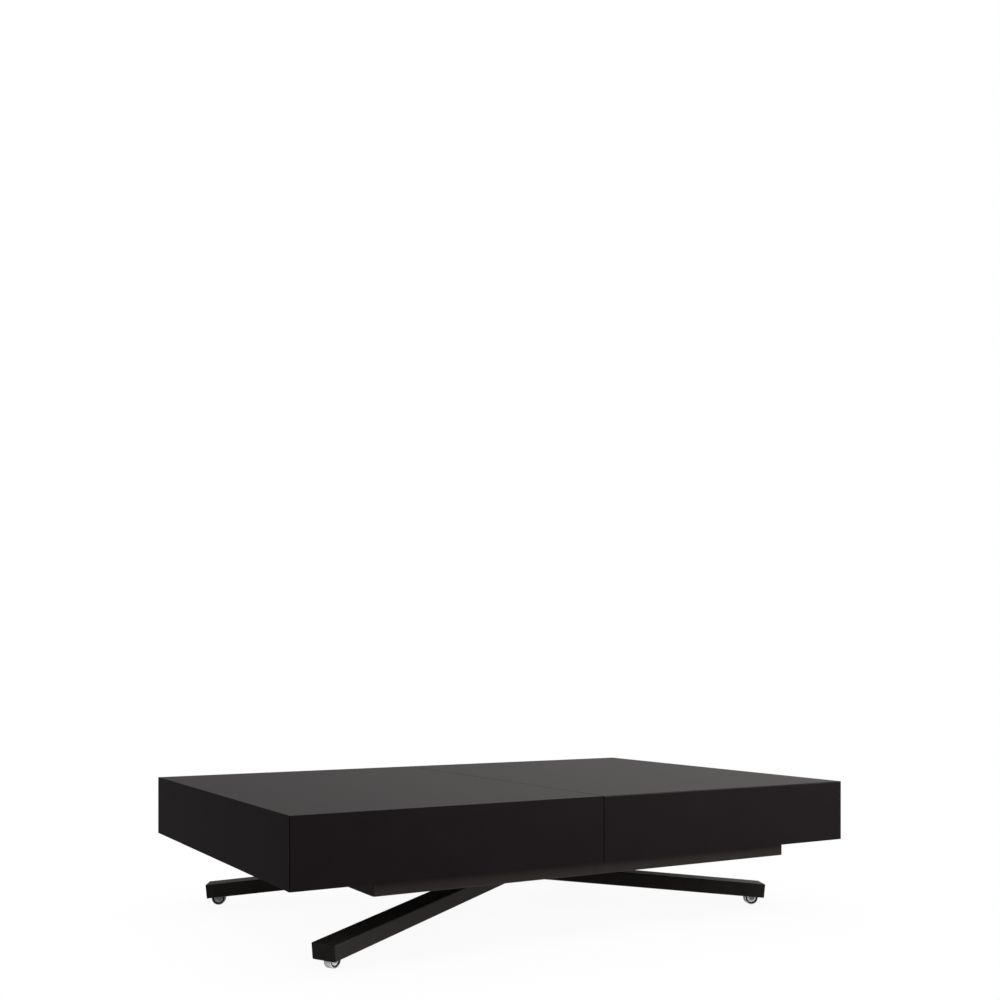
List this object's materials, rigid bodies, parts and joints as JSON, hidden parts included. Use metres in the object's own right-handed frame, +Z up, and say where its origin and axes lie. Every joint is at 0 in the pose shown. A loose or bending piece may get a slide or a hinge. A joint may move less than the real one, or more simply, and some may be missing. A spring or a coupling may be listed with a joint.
{
  "type": "extendable coffee table",
  "caption": "Low black box-top table: two halves slide apart to take leaves, and a scissor of splayed castored legs lifts it to dining height.",
  "frame": {"origin": "on the floor, under the centre of the closed table top", "axes": "+X along the table length, the left half slides towards -X; -Y is the front; +Z up"},
  "size_m": [1.25, 0.844, 0.281],
  "materials": {
    "black_board": "satin black lacquered board",
    "leaf_board": "satin black lacquered board",
    "slide_wood": "black stained beech",
    "dowel_wood": "plain beech",
    "frame_steel": "fine black powder coat",
    "leg_steel": "fine black powder coat",
    "arm_steel": "fine black powder coat",
    "guide_aluminium": "black anodised extrusion",
    "bright_steel": "zinc plated",
    "cylinder_paint": "gloss black paint",
    "cap_plastic": "matt black moulding",
    "tyre_grey": "grey soft tread",
    "rim_black": "black moulding, grey centre",
    "roller_nylon": "plain nylon",
    "button_plastic": "red moulding"
  },
  "bodies": {
    "table_frame": {"frame_front_rail": "frame_steel", "frame_back_rail": "frame_steel", "frame_left_rail": "frame_steel", "frame_right_rail": "frame_steel", "left_leaf_bearer": "frame_steel", "right_leaf_bearer": "frame_steel", "back_slide_guide": "guide_aluminium", "front_slide_guide": "guide_aluminium", "roller_channels": "frame_steel", "pivot_brackets": "frame_steel", "pivot_pins": "bright_steel", "gas_spring_cylinder": "cylinder_paint", "gas_spring_bracket": "frame_steel", "lever_bracket": "frame_steel", "lower_leaf": "leaf_board", "middle_leaf": "leaf_board", "upper_leaf": "leaf_board"},
    "outer_legs": {"outer_front_leg": "leg_steel", "outer_back_leg": "leg_steel", "outer_leg_caps": "cap_plastic", "outer_castor_forks": "bright_steel", "outer_brace": "leg_steel", "outer_hub_knuckles": "arm_steel", "outer_arm": "arm_steel", "outer_cross_tube": "arm_steel", "hub_axle": "bright_steel"},
    "inner_legs": {"inner_front_leg": "leg_steel", "inner_back_leg": "leg_steel", "inner_leg_caps": "cap_plastic", "inner_castor_forks": "bright_steel", "inner_brace": "leg_steel", "inner_hub_knuckles": "arm_steel", "inner_arms": "arm_steel", "roller_shaft": "bright_steel"},
    "left_top": {"left_top_panel": "black_board", "left_front_board": "black_board", "left_back_board": "black_board", "left_end_board": "black_board", "left_front_slide": "slide_wood", "left_back_slide": "slide_wood", "left_dowels": "dowel_wood"},
    "right_top": {"right_top_panel": "black_board", "right_front_board": "black_board", "right_back_board": "black_board", "right_end_board": "black_board", "right_front_slide": "slide_wood", "right_back_slide": "slide_wood"},
    "gas_rod": {"gas_spring_rod": "bright_steel"},
    "lever": {"release_lever": "frame_steel"},
    "button": {"gas_spring_button": "button_plastic"},
    "front_roller": {"front_roller": "roller_nylon"},
    "back_roller": {"back_roller": "roller_nylon"},
    "outer_front_wheel": {"outer_front_wheel_tyre": "tyre_grey", "outer_front_wheel_rim": "rim_black"},
    "outer_back_wheel": {"outer_back_wheel_tyre": "tyre_grey", "outer_back_wheel_rim": "rim_black"},
    "inner_front_wheel": {"inner_front_wheel_tyre": "tyre_grey", "inner_front_wheel_rim": "rim_black"},
    "inner_back_wheel": {"inner_back_wheel_tyre": "tyre_grey", "inner_back_wheel_rim": "rim_black"}
  },
  "joints": [
    {"name": "lift", "type": "hinge", "parent": "table_frame", "child": "outer_legs", "pos_m": [0.415, 0, 0.15], "axis": [0, -1, 0], "range_deg": [0, 33]},
    {"name": "hub_cross", "type": "hinge", "parent": "outer_legs", "child": "inner_legs", "pos_m": [0, 0, 0.092], "axis": [0, 1, 0], "range_deg": [0, 66]},
    {"name": "gas_rod_eye", "type": "hinge", "parent": "inner_legs", "child": "gas_rod", "pos_m": [-0.415, 0, 0.15], "axis": [0, -1, 0], "range_deg": [0, 33]},
    {"name": "left_half_slide", "type": "slide", "parent": "table_frame", "child": "left_top", "axis": [-1, 0, 0], "range_m": [0, 0.56]},
    {"name": "right_half_slide", "type": "slide", "parent": "table_frame", "child": "right_top", "axis": [1, 0, 0], "range_m": [0, 0.56]},
    {"name": "lever_pull", "type": "hinge", "parent": "table_frame", "child": "lever", "pos_m": [0.215, -0.1, 0.128], "axis": [0, -1, 0], "range_deg": [0, 4], "stiffness_Nm_per_rad": 2},
    {"name": "button_press", "type": "slide", "parent": "table_frame", "child": "button", "axis": [-1, 0, 0], "range_m": [0, 0.0016]},
    {"name": "outer_front_wheel_spin", "type": "hinge", "parent": "outer_legs", "child": "outer_front_wheel", "pos_m": [-0.51317, -0.33131, 0.015], "axis": [-0.4565, 0.8897, 0], "continuous": true},
    {"name": "outer_back_wheel_spin", "type": "hinge", "parent": "outer_legs", "child": "outer_back_wheel", "pos_m": [-0.51317, 0.33131, 0.015], "axis": [0.4565, 0.8897, 0], "continuous": true},
    {"name": "inner_front_wheel_spin", "type": "hinge", "parent": "inner_legs", "child": "inner_front_wheel", "pos_m": [0.51255, -0.26048, 0.015], "axis": [-0.4057, -0.914, 0], "continuous": true},
    {"name": "inner_back_wheel_spin", "type": "hinge", "parent": "inner_legs", "child": "inner_back_wheel", "pos_m": [0.51255, 0.26048, 0.015], "axis": [0.4057, -0.914, 0], "continuous": true},
    {"name": "front_roller_spin", "type": "hinge", "parent": "inner_legs", "child": "front_roller", "pos_m": [-0.415, -0.149, 0.15], "axis": [0, 1, 0], "continuous": true},
    {"name": "back_roller_spin", "type": "hinge", "parent": "inner_legs", "child": "back_roller", "pos_m": [-0.415, 0.149, 0.15], "axis": [0, 1, 0], "continuous": true}
  ],
  "couplings": [
    {"joint": "hub_cross", "follows": "lift", "ratio": 2},
    {"joint": "gas_rod_eye", "follows": "lift", "ratio": 1},
    {"joint": "button_press", "follows": "lever_pull", "m_per_rad": 0.022}
  ]
}
